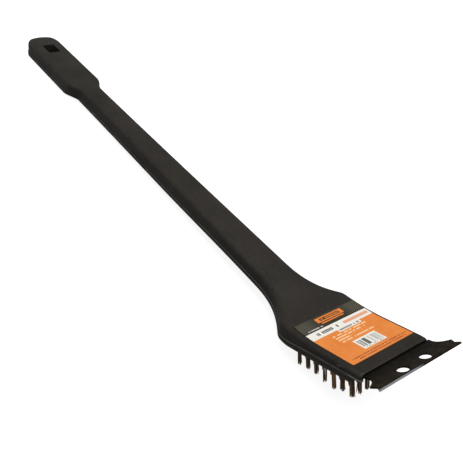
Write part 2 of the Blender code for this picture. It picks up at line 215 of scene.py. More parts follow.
def slab(top, bottom):
    """Points and faces of a closed plate between two grids of the same size: both
    faces, and a wall round the rim."""
    rows, columns = top.shape[:2]
    size = rows * columns
    index = np.arange(size).reshape(rows, columns)
    upper = grid_faces(rows, columns)
    lower = [face[::-1] for face in grid_faces(rows, columns, first=size)]
    rim = np.concatenate([index[0, :-1], index[:-1, -1], index[-1, :0:-1], index[:0:-1, 0]])
    after = np.roll(rim, -1)
    wall = np.stack([after, rim, rim + size, after + size], axis=-1).tolist()
    return np.concatenate([top.reshape(-1, 3), bottom.reshape(-1, 3)]), upper + lower + wall


def face_out(made):
    """Turn the faces of a closed mesh outwards, from the sign of its volume."""
    mesh = made.data
    mesh.calc_loop_triangles()
    corners = np.empty(len(mesh.loop_triangles) * 3, dtype=np.int64)
    mesh.loop_triangles.foreach_get("vertices", corners)
    places = np.empty(len(mesh.vertices) * 3)
    mesh.vertices.foreach_get("co", places)
    a, b, c = places.reshape(-1, 3)[corners.reshape(-1, 3)].transpose(1, 0, 2)
    if np.einsum("ij,ij->i", a, np.cross(b, c)).sum() < 0.0:
        mesh.flip_normals()
    return made


def join_solids(parts):
    """Points and faces of several solids put in one list."""
    points = np.concatenate([part[0] for part in parts])
    starts = np.cumsum([0] + [len(part[0]) for part in parts[:-1]])
    faces = [[start + corner for corner in face] for start, part in zip(starts, parts) for face in part[1]]
    return points, faces


def cut(target, tools, smooth=32.0):
    """Cut closed tools out of the target one after another and keep the result."""
    for tool in tools:
        face_out(tool)
        step = target.modifiers.new("cut", "BOOLEAN")
        step.object = tool
    depsgraph = bpy.context.evaluated_depsgraph_get()
    result = bpy.data.meshes.new_from_object(target.evaluated_get(depsgraph))
    target.modifiers.clear()
    target.data = result
    result.shade_smooth()
    result.set_sharp_from_angle(angle=math.radians(smooth))
    for tool in tools:
        bpy.data.objects.remove(tool, do_unlink=True)
    return target


def set_uv(made, coordinates):
    """Give a mesh one UV map, from one (u, v) for each of its vertices."""
    mesh = made.data
    layer = mesh.uv_layers.new(name="print")
    corner = np.empty(len(mesh.loops), dtype=np.int64)
    mesh.loops.foreach_get("vertex_index", corner)
    layer.data.foreach_set("uv", coordinates[corner].ravel())


def set_values(made, name, values):
    """Store one number for each vertex under a name that a material can read."""
    layer = made.data.attributes.new(name=name, type="FLOAT", domain="POINT")
    layer.data.foreach_set("value", values.astype(np.float32))


# ---------------------------------------------------------------- shape of the moulding


def smooth_step(value):
    """3 v^2 - 2 v^3 between 0 and 1, level outside."""
    value = np.clip(value, 0.0, 1.0)
    return value * value * (3.0 - 2.0 * value)


def headness(x):
    """0 along the handle, 1 over the head."""
    return smooth_step((x - BEND_REAR_X) / (BEND_FRONT_X - BEND_REAR_X))


def top_z(x):
    """Height of the top on the centre line: nearly level over the head, a parabola as it
    bends up, then the straight slope of the handle; the nose rounds down as a quarter
    of an ellipse."""
    rise = math.tan(HANDLE_SLOPE)
    bend = BEND_FRONT_X - BEND_REAR_X
    back = np.clip(BEND_FRONT_X - x, 0.0, bend)
    z = HEAD_TOP_Z - HEAD_SLOPE * np.maximum(x - BEND_FRONT_X, 0.0)
    z = z + HEAD_SLOPE * back + (rise - HEAD_SLOPE) * back * back / (2.0 * bend)
    into = np.clip((x + NOSE_ROUND_LENGTH) / NOSE_ROUND_LENGTH, 0.0, 1.0)
    nose = NOSE_DROP * (1.0 - np.sqrt(1.0 - into ** 2))
    return z + rise * np.maximum(BEND_REAR_X - x, 0.0) - nose


def section_tilt(x):
    """Lean of the section: square to the handle, upright over the head."""
    return HANDLE_SLOPE * (1.0 - smooth_step((x - UPRIGHT_REAR_X) / (UPRIGHT_FRONT_X - UPRIGHT_REAR_X)))


def section_depth(x):
    """Depth down the leaning section: the smaller of the way to a line under the handle
    and the way to the level face of the tufts, with a parabola between them."""
    tilt = section_tilt(x)
    thin = smooth_step((x - THINNING_REAR_X) / (FLARE_REAR_X - THINNING_REAR_X))
    depth = HANDLE_DEPTH + (BEND_DEPTH - HANDLE_DEPTH) * thin
    above = (top_z(x) - top_z(np.float64(BEND_REAR_X))) * math.cos(HANDLE_SLOPE)
    above = above + (x - BEND_REAR_X) * math.sin(HANDLE_SLOPE)
    to_line = (depth + np.maximum(0.0, above)) / np.cos(HANDLE_SLOPE - tilt)
    to_level = top_z(x) / np.cos(tilt)
    apart = to_line - to_level
    blended = to_level - (BEND_SOFT - apart) ** 2 / (4.0 * BEND_SOFT)
    return np.where(np.abs(apart) < BEND_SOFT, blended, np.minimum(to_line, to_level))


def grip_end(x, length):
    """0 along the grip, rising to 1 at its end over the given length."""
    return np.clip(1.0 - (x - GRIP_END_X) / length, 0.0, 1.0)


def half_width(x, rake, corner_radius):
    """Half width in plan: a slowly widening neck, a smooth step out to the grip, a power
    curve out to the head that is held back softly, a superellipse at the grip's end and
    a round corner at the nose."""
    along = np.clip((x - SHOULDER_FRONT_X) / (FLARE_REAR_X - SHOULDER_FRONT_X), 0.0, 1.0)
    neck = NECK_HALF_REAR + (NECK_HALF_FRONT - NECK_HALF_REAR) * along ** NECK_POWER
    flare = np.maximum(0.0, (x - FLARE_REAR_X) / (FLARE_FRONT_X - FLARE_REAR_X))
    flared = neck + (HEAD_HALF - neck) * flare ** FLARE_POWER
    width = 0.5 * (flared + HEAD_HALF - np.hypot(flared - HEAD_HALF, FLARE_SOFT))
    shoulder = (SHOULDER_FRONT_X + rake - x) / (SHOULDER_FRONT_X - SHOULDER_REAR_X)
    width = width + (GRIP_HALF - neck) * smooth_step(shoulder)
    width = width * (1.0 - grip_end(x, GRIP_END_LENGTH) ** GRIP_END_POWER) ** (1.0 / GRIP_END_POWER)
    corner = np.clip((x + corner_radius) / corner_radius, 0.0, 1.0)
    return width - corner_radius * (1.0 - np.sqrt(1.0 - corner ** 2))


def section_columns(x):
    """The section's points for one side, as (y, drop) for all stations at once: crowned
    top, round edge, wall, ledge at the parting line, band, round lower edge, underside."""
    head = headness(x)
    rounding = 1.0 - np.sqrt(1.0 - grip_end(x, GRIP_END_ROUND) ** 2)
    top = GRIP_END_DROP * rounding
    bottom = section_depth(x) - GRIP_END_LIFT * rounding - SKIN
    half = half_width(x, 0.0, NOSE_BAND_RADIUS)
    wall = half_width(x, SHOULDER_RAKE, NOSE_WALL_RADIUS) - BAND_PROUD
    edge = EDGE_ROUND_HANDLE + (EDGE_ROUND_HEAD - EDGE_ROUND_HANDLE) * head
    edge = np.minimum(np.minimum(edge, 0.45 * np.maximum(wall, 1e-5)), 0.40 * (bottom - top))
    crown = CROWN_HANDLE * (1.0 - head)
    band = BAND_HEIGHT_HANDLE + (BAND_HEIGHT_HEAD - BAND_HEIGHT_HANDLE) * head
    low = np.minimum(BOTTOM_ROUND, 0.3 * half)
    ledge = np.minimum(LEDGE_ROUND, 0.1 * half)
    points = []
    for part in np.linspace(0.0, 1.0, 7):
        points.append(((wall - edge) * part, top + crown * part ** 2))
    for turn in np.linspace(0.0, math.pi / 2.0, 9)[1:]:
        points.append((wall - edge + edge * math.sin(turn), top + crown + edge * (1.0 - math.cos(turn))))
    wall_top = top + crown + edge
    parting = bottom - band
    for part in (0.35, 0.7, 0.93):
        points.append((wall, wall_top + (parting - 2.0 * ledge - wall_top) * part))
    points.append((wall, parting - ledge))
    points.append((wall + 0.4 * ledge, parting - 0.2 * ledge))
    points.append((half - 1.2 * ledge, parting))
    points.append((half - 0.4 * ledge, parting + 0.3 * ledge))
    points.append((half, parting + 1.1 * ledge))
    for part in (0.25, 0.5, 0.75):
        points.append((half, parting + (bottom - low - parting) * part + 1.1 * ledge * (1.0 - part)))
    for turn in np.linspace(0.0, math.pi / 2.0, 6):
        points.append((half - low + low * math.cos(turn), bottom - low + low * math.sin(turn)))
    for part in (0.66, 0.33, 0.0):
        points.append(((half - low) * part, bottom))
    return [np.stack(column, axis=-1) for column in points]


def stations():
    """X of each section: closer together where the outline turns."""
    end = GRIP_END_X + GRIP_END_LENGTH * np.linspace(0.0, 1.0, 44) ** 2 + 0.0001
    spans = [end]
    for start, stop, count in (
        (end[-1], SHOULDER_REAR_X, 30),
        (SHOULDER_REAR_X, SHOULDER_FRONT_X + SHOULDER_RAKE, 44),
        (SHOULDER_FRONT_X + SHOULDER_RAKE, FLARE_REAR_X, 70),
        (FLARE_REAR_X, FLARE_FRONT_X + 0.004, 70),
        (FLARE_FRONT_X + 0.004, -NOSE_ROUND_LENGTH, 46),
    ):
        spans.append(np.linspace(start, stop, count + 1)[1:])
    nose = -NOSE_ROUND_LENGTH * (1.0 - np.sin(np.linspace(0.0, math.pi / 2.0, 30)[1:]))
    return np.concatenate(spans + [nose])


def moulding_rings(x):
    """The whole ring of each section: the right side, then the left side backwards."""
    side = np.stack(section_columns(x), axis=1)
    mirrored = side[:, -2:0:-1] * np.array([-1.0, 1.0])
    ring = np.concatenate([side, mirrored], axis=1)
    tilt = section_tilt(x)[:, None]
    along = x[:, None] - ring[..., 1] * np.sin(tilt)
    height = top_z(x)[:, None] - ring[..., 1] * np.cos(tilt)
    return to_world(np.stack([along, ring[..., 0], height], axis=-1))


def rub_and_highlight_marks(x):
    """How pale each point of the rings is painted, partly as rubbed wear and partly as painted highlight:
    fully on the ledge, less on the lower edge and least on the top edge, and more towards the nose."""
    side = np.zeros(SIDE_POINTS)
    for first, last, pale in RUB_AND_HIGHLIGHT_RUNS:
        side[first:last] = pale
    ring = np.concatenate([side, side[-2:0:-1]])
    along = RUB_AND_HIGHLIGHT_HANDLE + RUB_AND_HIGHLIGHT_NOSE_EXTRA * smooth_step((x - RUB_AND_HIGHLIGHT_NOSE_REAR_X) / RUB_AND_HIGHLIGHT_NOSE_LENGTH)
    return (along[:, None] * ring[None, :]).ravel()


def rounded_outline(length, width, corner, steps=6):
    """Rectangle with round corners: each corner is a quarter circle."""
    turns = np.linspace(0.0, math.pi / 2.0, steps)
    quarters = []
    for quarter, (sign_x, sign_y) in enumerate(((1, 1), (-1, 1), (-1, -1), (1, -1))):
        angle = turns + quarter * math.pi / 2.0
        quarters.append(np.stack([sign_x * (length / 2 - corner) + corner * np.cos(angle),
                                  sign_y * (width / 2 - corner) + corner * np.sin(angle)], axis=-1))
    return np.concatenate(quarters)


def box_solid(low, high):
    """Eight corners and six faces of a box in the head's frame."""
    corners = np.array([(x, y, z) for z in (low[2], high[2]) for x, y in (
        (low[0], low[1]), (high[0], low[1]), (high[0], high[1]), (low[0], high[1]))])
    return corners[:4], corners[4:]


def hang_hole_tool():
    """A rounded rectangle swept down through the grip. At both mouths its outline grows
    as a quarter circle, which rounds the rim."""
    depth = float(section_depth(np.float64(HOLE_X)))
    turns = np.linspace(HOLE_LIP_TURN, 0.0, 6)
    grow = HOLE_LIP * (1.0 - np.cos(turns))
    sink = HOLE_LIP * (1.0 - np.sin(turns))
    crown_gap = 0.0001
    clear = HOLE_LIP * 1.2
    levels = [(TOOL_REACH, clear), (0.0002, clear), *zip(-(sink + crown_gap), grow)]
    levels += [(-(depth - low), wide) for low, wide in zip(sink[::-1], grow[::-1])]
    levels += [(-depth - 0.0001, clear), (-depth - TOOL_REACH, clear)]
    rings = []
    for level, wide in levels:
        outline = rounded_outline(HOLE_LENGTH + 2 * wide, HOLE_WIDTH + 2 * wide, HOLE_CORNER + wide)
        rings.append(np.column_stack([outline, np.full(len(outline), level)]))
    rings = np.array(rings)
    mouth = Matrix.Translation((HOLE_X, 0.0, float(top_z(np.float64(HOLE_X)))))
    matrix = np.array(mouth @ Matrix.Rotation(HANDLE_SLOPE, 4, "Y"))
    return tube_solid(to_world(rings @ matrix[:3, :3].T + matrix[:3, 3]))


def tuft_places():
    """Node name, x and y of each tuft. Columns count from the front, rows across."""
    for column in range(TUFT_COLUMNS):
        for row in range(TUFT_ROWS):
            x = TUFT_FRONT_X - TUFT_PITCH_X * column
            y = TUFT_PITCH_Y * (row - (TUFT_ROWS - 1) / 2)
            yield f"{column + 1}_{row + 1}", x, y


def turned(profile, sides, x, y):
    """A profile of (radius, z) turned about an upright line at (x, y)."""
    angle = np.arange(sides) * math.tau / sides
    radius, height = np.array(profile).T
    return np.stack([x + radius[:, None] * np.cos(angle), y + radius[:, None] * np.sin(angle),
                     np.repeat(height[:, None], sides, axis=1)], axis=-1)


def tuft_hole_tool():
    """Blind holes with a small chamfer at the mouth, one for each tuft."""
    bore = TUFT_RADIUS + HOLE_CLEARANCE
    wide = bore + HOLE_CHAMFER
    profile = [(wide + HOLE_CHAMFER, -HOLE_CHAMFER), (bore, HOLE_CHAMFER), (bore, TUFT_SET_DEPTH + GAP)]
    return join_solids([tube_solid(to_world(turned(profile, 16, x, y))) for _, x, y in tuft_places()])


def scraper_matrix():
    """Place of the scraper's plane: its X runs forward along the plate's top face."""
    return np.array(Matrix.Translation((0.0, 0.0, SCRAPER_TOP_Z)) @ Matrix.Rotation(-SCRAPER_TILT, 4, "Y"))


def on_plate(points):
    """Points in the scraper's plane carried to the world."""
    matrix = scraper_matrix()
    return to_world(points @ matrix[:3, :3].T + matrix[:3, 3])


def recess_tool():
    """The space under the nose, in front of the block that holds the tufts."""
    wide = HEAD_HALF + TOOL_REACH
    low, high = box_solid((-RECESS_DEPTH_X, -wide, -0.003), (TOOL_REACH, wide, RECESS_RIM_Z))
    return tube_solid(to_world(np.array([low, high])))


def tail_pocket_tool():
    """The pocket between the nose's side rims, where the scraper's tail lies."""
    half = TAIL_HALF + GAP
    low, high = box_solid((-SCRAPER_TAIL - GAP, -half, GAP - 0.006), (TOOL_REACH, half, GAP))
    return tube_solid(on_plate(np.array([low, high])))


def make_moulding():
    """The moulding: a loft through its sections with its holes and pockets cut out."""
    points, faces = tube_solid(moulding_rings(stations()))
    body = face_out(make_mesh("handle_moulding", points, faces))
    # Pale edges, partly rubbed wear and partly painted highlight.
    set_values(body, "rub_and_highlight", rub_and_highlight_marks(stations()))
    tools = []
    for name, solid in (("hang_hole", hang_hole_tool()), ("tuft_holes", tuft_hole_tool()),
                        ("nose_recess", recess_tool()), ("tail_pocket", tail_pocket_tool())):
        tools.append(make_mesh(name, *solid))
    return cut(body, tools)


def make_posts():
    """Two posts under the nose, each melted into a low dome below the scraper's tail."""
    under = -SCRAPER_THICK - GAP
    dome = [(POST_HEAD_RADIUS * math.sin(t), under - POST_HEAD_HEIGHT * math.cos(t) ** 1.3)
            for t in np.linspace(0.12, math.pi / 2.0, 8)]
    profile = dome + [(POST_RADIUS, under), (POST_RADIUS, GAP)]
    solids = [tube_solid(on_plate(turned(profile, 28, POST_X, y))) for y in (-POST_Y, POST_Y)]
    return face_out(make_mesh("scraper_posts", *join_solids(solids)))


def make_mould_mark():
    """A hair-thin raised line on the near wall behind the nose: a tube whose centre is a
    quarter of an ellipse that starts upright at the band and ends level below the top."""
    turn = np.linspace(0.0, math.pi / 2.0, 22)
    x = MARK_REAR_X + MARK_LENGTH * (1.0 - np.cos(turn))
    z = MARK_LOW_Z + MARK_RISE * np.sin(turn)
    y = -half_width(x, SHOULDER_RAKE, NOSE_WALL_RADIUS) + BAND_PROUD
    sides = np.arange(8) * math.tau / 8
    thin = MARK_RADIUS * (1.0 - 0.5 * (turn / (math.pi / 2.0)) ** 2)
    across = np.stack([np.sin(turn), 0.0 * turn, -np.cos(turn)], axis=-1)[:, None, :]
    across = across * np.cos(sides)[None, :, None]
    outward = np.array([0.0, 1.0, 0.0])[None, None, :] * np.sin(sides)[None, :, None]
    centre = np.stack([x, y, z], axis=-1)[:, None, :]
    points, faces = tube_solid(to_world(centre + thin[:, None, None] * (across + outward)))
    mark = face_out(make_mesh("mould_mark", points, faces))
    # The mark is painted pale, partly as rubbed wear and partly as painted highlight.
    set_values(mark, "rub_and_highlight", np.full(len(points), RUB_AND_HIGHLIGHT_MARK))
    return mark


# ---------------------------------------------------------------- scraper and label


def plate_half(x):
    """Half width of the plate: the tail, the root, a power curve out to the ear less half
    a sine wave, a shallow notch with straight flanks and the pointed front corner."""
    part = np.clip((x - GAP) / (EAR_X - GAP), 0.0, 1.0)
    ear = ROOT_HALF + (SCRAPER_HALF - ROOT_HALF) * part ** EAR_POWER - EAR_HOLLOW * np.sin(math.pi * part)
    half = np.where(x < GAP, TAIL_HALF, ear)
    notch = np.interp(x, [EAR_X, NOTCH_X, SCRAPER_LENGTH], [0.0, NOTCH, 0.0])
    return half - notch


def make_scraper():
    """The stamped plate: a grid over (x, share of the half width), two faces a plate's
    thickness apart, with its round holes punched out. The holes' upper rims are flared."""
    x = np.concatenate([
        np.linspace(-SCRAPER_TAIL, GAP - 0.00002, 12), np.linspace(GAP, EAR_X, 44),
        np.linspace(EAR_X, NOTCH_X, 8)[1:], np.linspace(NOTCH_X, SCRAPER_LENGTH, 10)[1:]])
    share = np.linspace(-1.0, 1.0, 41)
    across = plate_half(x)[:, None] * share[None, :]
    along = np.repeat(x[:, None], len(share), axis=1)
    top = np.stack([along, across, np.zeros_like(along)], axis=-1)
    bottom = top - np.array([0.0, 0.0, SCRAPER_THICK])
    points, faces = slab(on_plate(top), on_plate(bottom))
    plate = face_out(make_mesh("scraper_plate", points, faces))
    wide = PLATE_HOLE_RADIUS + PLATE_BURR
    punch = [(wide, -SCRAPER_THICK - PUNCH_REACH), (PLATE_HOLE_RADIUS, -SCRAPER_THICK),
             (PLATE_HOLE_RADIUS, -PLATE_BURR), (wide, 0.0), (wide, PUNCH_REACH)]
    solids = [tube_solid(on_plate(turned(punch, 48, PLATE_HOLE_X, y))) for y in (-PLATE_HOLE_Y, PLATE_HOLE_Y)]
    pin = [(POST_RADIUS + GAP, -TOOL_REACH), (POST_RADIUS + GAP, PUNCH_REACH)]
    solids += [tube_solid(on_plate(turned(pin, 28, POST_X, y))) for y in (-POST_Y, POST_Y)]
    cut(plate, [make_mesh("punches", *join_solids(solids))])
    store_plate_uv(plate)
    return plate


def store_plate_uv(plate):
    """UV of the scraper: u from the tail to the front edge, v across."""
    places = np.empty(len(plate.data.vertices) * 3)
    plate.data.vertices.foreach_get("co", places)
    back = np.array(REST.inverted())
    local = places.reshape(-1, 3) @ back[:3, :3].T + back[:3, 3]
    u = (local[:, 0] + SCRAPER_TAIL) / (SCRAPER_LENGTH * math.cos(SCRAPER_TILT) + SCRAPER_TAIL)
    set_uv(plate, np.stack([u, local[:, 1] / (2.0 * SCRAPER_HALF) + 0.5], axis=-1))


def make_label():
    """The printed film: a grid that follows the head's top, lifted very slightly at its
    corners, with a second grid a film's thickness below."""
    u, v = np.meshgrid(np.linspace(0.0, 1.0, 61), np.linspace(0.0, 1.0, 61), indexing="ij")
    x = LABEL_REAR_X + (LABEL_FRONT_X - LABEL_REAR_X) * u
    y = LABEL_HALF * (2.0 * v - 1.0)
    corner = np.abs(2.0 * u - 1.0) ** LABEL_CURL_POWER * np.abs(2.0 * v - 1.0) ** LABEL_CURL_POWER
    z = top_z(x) + LABEL_LIFT + LABEL_CURL * corner
    bottom = np.stack([x, y, z], axis=-1)
    top = np.stack([x, y, z + LABEL_THICK], axis=-1)
    points, faces = slab(to_world(top), to_world(bottom))
    label = face_out(make_mesh("label_print", points, faces))
    single = np.stack([u, v], axis=-1).reshape(-1, 2)
    set_uv(label, np.concatenate([single, single]))
    return label


# ---------------------------------------------------------------- tufts


def make_tuft(name, x, y, wires, longer, rng):
    """A bundle of wires. Each is a tube whose centre line leans outwards from its place
    in the hole and bends as the square of its length, with its own trim and a slanted
    cut. Places fill a disc by the golden angle."""
    index = np.arange(wires)
    reach = TUFT_RADIUS - WIRE_RADIUS
    angle = index * GOLDEN_ANGLE + rng.uniform(0.0, math.tau)
    radius = reach * np.sqrt((index + 0.5) / wires)
    root = np.stack([radius * np.cos(angle), radius * np.sin(angle)], axis=-1)
    lean = root * rng.uniform(-0.05, 0.16, (wires, 1)) + rng.normal(0.0, 0.00010, (wires, 2))
    bend = rng.normal(0.0, 0.00020, (wires, 2))
    point = rng.uniform(0.0, 0.12) * (radius / reach) ** 2
    shorter = np.abs(rng.normal(0.0, 0.035, wires))
    trim = TUFT_TRIM * (1.0 - shorter - 0.10 * rng.random(wires) ** 3 - point) + longer
    part = np.linspace(0.0, 1.0, WIRE_RINGS)
    height = TUFT_SET_DEPTH - part[None, :] * (TUFT_SET_DEPTH + trim[:, None])
    down = np.clip(-height / TUFT_TRIM, 0.0, 1.0)
    fall = down[..., None]
    centre = root[:, None, :] + lean[:, None, :] * fall + bend[:, None, :] * fall ** 2
    turn = np.arange(WIRE_SIDES) * math.tau / WIRE_SIDES
    ring = np.stack([np.cos(turn), np.sin(turn)], axis=-1) * WIRE_RADIUS
    tip = part == 1.0
    taper = np.where(tip, WIRE_TIP_TAPER, 1.0)
    flat = centre[:, :, None, :] + ring[None, None, :, :] * taper[None, :, None, None]
    slant = rng.uniform(-0.0003, 0.0003, (wires, 1, 1)) * np.cos(turn)[None, None, :] * tip[None, :, None]
    z = (height[:, :, None] + np.abs(slant))[..., None]
    points = np.concatenate([flat + np.array([x, y]), z], axis=-1)
    solids = [tube_solid(wire) for wire in to_world(points)]
    tuft = face_out(make_mesh(f"wires_{name}", *join_solids(solids), smooth=50.0))
    per_wire = WIRE_RINGS * WIRE_SIDES
    set_values(tuft, "tone", np.repeat(rng.random(wires), per_wire))
    set_values(tuft, "rise", np.repeat(down[:, :, None], WIRE_SIDES, axis=2).ravel())
    return tuft


# ---------------------------------------------------------------- node helpers


def new_group(name, inputs, outputs):
    """An empty shader group with float or vector sockets, and its in and out nodes."""
    group = bpy.data.node_groups.new(name, "ShaderNodeTree")
    for label, kind, default in inputs:
        made = group.interface.new_socket(name=label, in_out="INPUT", socket_type=kind)
        if default is not None:
            made.default_value = default
    for label, kind in outputs:
        group.interface.new_socket(name=label, in_out="OUTPUT", socket_type=kind)
    return group, group.nodes.new("NodeGroupInput"), group.nodes.new("NodeGroupOutput")


def plug(tree, socket, value):
    """Join a socket to another socket, or set its own number or colour."""
    if isinstance(value, bpy.types.NodeSocket):
        tree.links.new(value, socket)
    else:
        socket.default_value = value


def math_node(tree, operation, first, second=0.0, clamp=False):
    """One Math node."""
    node = tree.nodes.new("ShaderNodeMath")
    node.operation = operation
    node.use_clamp = clamp
    plug(tree, node.inputs[0], first)
    plug(tree, node.inputs[1], second)
    return node.outputs[0]


def noise(tree, vector, scale, detail=2.0, roughness=0.5):
    """Noise of a given scale at a place."""
    node = tree.nodes.new("ShaderNodeTexNoise")
    plug(tree, node.inputs["Vector"], vector)
    node.inputs["Scale"].default_value = scale
    node.inputs["Detail"].default_value = detail
    node.inputs["Roughness"].default_value = roughness
    return node.outputs["Fac"]


def spread(tree, value, low, high, to_low=0.0, to_high=1.0):
    """Map a value from one range to another, held inside it."""
    node = tree.nodes.new("ShaderNodeMapRange")
    plug(tree, node.inputs["Value"], value)
    plug(tree, node.inputs["From Min"], low)
    plug(tree, node.inputs["From Max"], high)
    node.inputs["To Min"].default_value = to_low
    node.inputs["To Max"].default_value = to_high
    return node.outputs["Result"]


def paint(tree, under, over, mask):
    """Lay one colour over another where the mask is 1."""
    node = tree.nodes.new("ShaderNodeMix")
    node.data_type = "RGBA"
    plug(tree, node.inputs["Factor"], mask)
    plug(tree, node.inputs["A"], under)
    plug(tree, node.inputs["B"], over)
    return node.outputs["Result"]


def bump(tree, height, distance, strength):
    """Bump node in metres."""
    node = tree.nodes.new("ShaderNodeBump")
    node.inputs["Distance"].default_value = distance
    node.inputs["Strength"].default_value = strength
    plug(tree, node.inputs["Height"], height)
    return node.outputs["Normal"]


def use_group(tree, group, **values):
    """Place a group and set its inputs; underscores stand for spaces."""
    node = tree.nodes.new("ShaderNodeGroup")
    node.node_tree = group
    for name, value in values.items():
        plug(tree, node.inputs[name.replace("_", " ")], value)
    return node


def new_material(name):
    """A material, its tree and its Principled shader."""
    made = bpy.data.materials.new(name)
    made.use_nodes = True
    return made, made.node_tree, made.node_tree.nodes["Principled BSDF"]


def place_of(tree):
    """The object's own coordinates."""
    return tree.nodes.new("ShaderNodeTexCoord").outputs["Object"]


def stored(tree, name):
    """A number stored on the vertices by set_values."""
    node = tree.nodes.new("ShaderNodeAttribute")
    node.attribute_name = name
    return node.outputs["Fac"]


def print_place(tree):
    """u and v of the piece's own UV map."""
    uv = tree.nodes.new("ShaderNodeUVMap")
    uv.uv_map = "print"
    split = tree.nodes.new("ShaderNodeSeparateXYZ")
    tree.links.new(uv.outputs["UV"], split.inputs[0])
    return split.outputs["X"], split.outputs["Y"]


def wear_group():
    """Handling marks. Puts out a mask of sparse specks, one of broad clouds and a height
    of fine grain."""
    group, given, result = new_group(
        "surface_wear",
        [("Place", "NodeSocketVector", None), ("Speck Scale", "NodeSocketFloat", 1500.0),
         ("Grain Scale", "NodeSocketFloat", 2600.0), ("Cloud Scale", "NodeSocketFloat", 22.0)],
        [("Specks", "NodeSocketFloat"), ("Clouds", "NodeSocketFloat"), ("Grain", "NodeSocketFloat")])
    place = given.outputs["Place"]
    speck = noise(group, place, 1.0, 2.0)
    group.links.new(given.outputs["Speck Scale"], speck.node.inputs["Scale"])
    group.links.new(spread(group, speck, 0.66, 0.74), result.inputs["Specks"])
    cloud = noise(group, place, 1.0, 4.0, 0.6)
    group.links.new(given.outputs["Cloud Scale"], cloud.node.inputs["Scale"])
    group.links.new(spread(group, cloud, 0.3, 0.7), result.inputs["Clouds"])
    grain = noise(group, place, 1.0, 3.0, 0.6)
    group.links.new(given.outputs["Grain Scale"], grain.node.inputs["Scale"])
    group.links.new(grain, result.inputs["Grain"])
    return group


def between_group():
    """1 where a value lies between two limits, with a soft edge."""
    group, given, result = new_group(
        "between",
        [("Value", "NodeSocketFloat", 0.0), ("Low", "NodeSocketFloat", 0.0),
         ("High", "NodeSocketFloat", 1.0), ("Soft", "NodeSocketFloat", 0.05)],
        [("Mask", "NodeSocketFloat")])
    soft = given.outputs["Soft"]
    rise = math_node(group, "SUBTRACT", given.outputs["Value"], given.outputs["Low"])
    rise = math_node(group, "ADD", math_node(group, "DIVIDE", rise, soft), 0.5, clamp=True)
    fall = math_node(group, "SUBTRACT", given.outputs["High"], given.outputs["Value"])
    fall = math_node(group, "ADD", math_node(group, "DIVIDE", fall, soft), 0.5, clamp=True)
    group.links.new(math_node(group, "MULTIPLY", rise, fall), result.inputs["Mask"])
    return group


def dashes_group(between):
    """A printed row of plain dashes: inside a box, random cells along it are inked."""
    group, given, result = new_group(
        "dashes",
        [("Down", "NodeSocketFloat", 0.0), ("Across", "NodeSocketFloat", 0.0),
         ("Row", "NodeSocketFloat", 0.0), ("Height", "NodeSocketFloat", 1.0),
         ("Start", "NodeSocketFloat", 0.0), ("End", "NodeSocketFloat", 1.0),
         ("Cells", "NodeSocketFloat", 1.0), ("Fill", "NodeSocketFloat", 0.7)],
        [("Mask", "NodeSocketFloat")])
    half = math_node(group, "MULTIPLY", given.outputs["Height"], 0.5)
    inside_row = use_group(group, between, Value=given.outputs["Down"], Soft=0.12,
                           Low=math_node(group, "SUBTRACT", given.outputs["Row"], half),
                           High=math_node(group, "ADD", given.outputs["Row"], half)).outputs[0]
    inside_line = use_group(group, between, Value=given.outputs["Across"], Soft=0.15,
                            Low=given.outputs["Start"], High=given.outputs["End"]).outputs[0]
    cell = math_node(group, "MULTIPLY", given.outputs["Across"], given.outputs["Cells"])
    seeded = math_node(group, "ADD", math_node(group, "FLOOR", cell),
                       math_node(group, "MULTIPLY", given.outputs["Row"], 7.31))
    random = group.nodes.new("ShaderNodeTexWhiteNoise")
    random.noise_dimensions = "1D"
    group.links.new(seeded, random.inputs["W"])
    inked = math_node(group, "LESS_THAN", random.outputs["Value"], given.outputs["Fill"])
    inked = math_node(group, "MULTIPLY", inked, math_node(
        group, "LESS_THAN", math_node(group, "FRACT", cell), 0.72))
    mask = math_node(group, "MULTIPLY", math_node(group, "MULTIPLY", inside_row, inside_line), inked)
    group.links.new(mask, result.inputs["Mask"])
    return group


# ---------------------------------------------------------------- materials


def moulded_plastic(wear):
    """Black moulded plastic: fine matt grain, faint clouds, a few pale specks, and edges painted pale, partly
    as rubbed wear and partly as painted highlight."""
    made, tree, shader = new_material("moulded_plastic")
    place = place_of(tree)
    marks = use_group(tree, wear, Place=place, Speck_Scale=1100.0, Grain_Scale=1700.0, Cloud_Scale=44.0)
    colour = paint(tree, (0.0112, 0.0092, 0.0070, 1.0), (0.0228, 0.0191, 0.0148, 1.0),
                   marks.outputs["Clouds"])
    mottle = spread(tree, noise(tree, place, 420.0, 3.0, 0.7), 0.40, 0.68, 0.0, 0.5)
    colour = paint(tree, colour, (0.0260, 0.0225, 0.0180, 1.0), mottle)
    colour = paint(tree, colour, (0.046, 0.041, 0.034, 1.0),
                   math_node(tree, "MULTIPLY", marks.outputs["Specks"], 0.5))
    patchy = spread(tree, noise(tree, place, 160.0, 3.0), 0.32, 0.62, 0.35, 1.0)
    # Painted highlight along the edges, partly rubbed wear: they are painted pale.
    rubbed_and_highlighted = math_node(tree, "MULTIPLY", stored(tree, "rub_and_highlight"), patchy)
    pale = math_node(tree, "MULTIPLY", rubbed_and_highlighted, 0.85, clamp=True)
    colour = paint(tree, colour, (0.105, 0.100, 0.088, 1.0), pale)
    plug(tree, shader.inputs["Base Color"], colour)
    plug(tree, shader.inputs["Roughness"], spread(tree, marks.outputs["Clouds"], 0.0, 1.0, 0.52, 0.44))
    shader.inputs["Specular IOR Level"].default_value = 0.16
    plug(tree, shader.inputs["Normal"], bump(tree, marks.outputs["Grain"], 0.00009, 0.8))
    return made


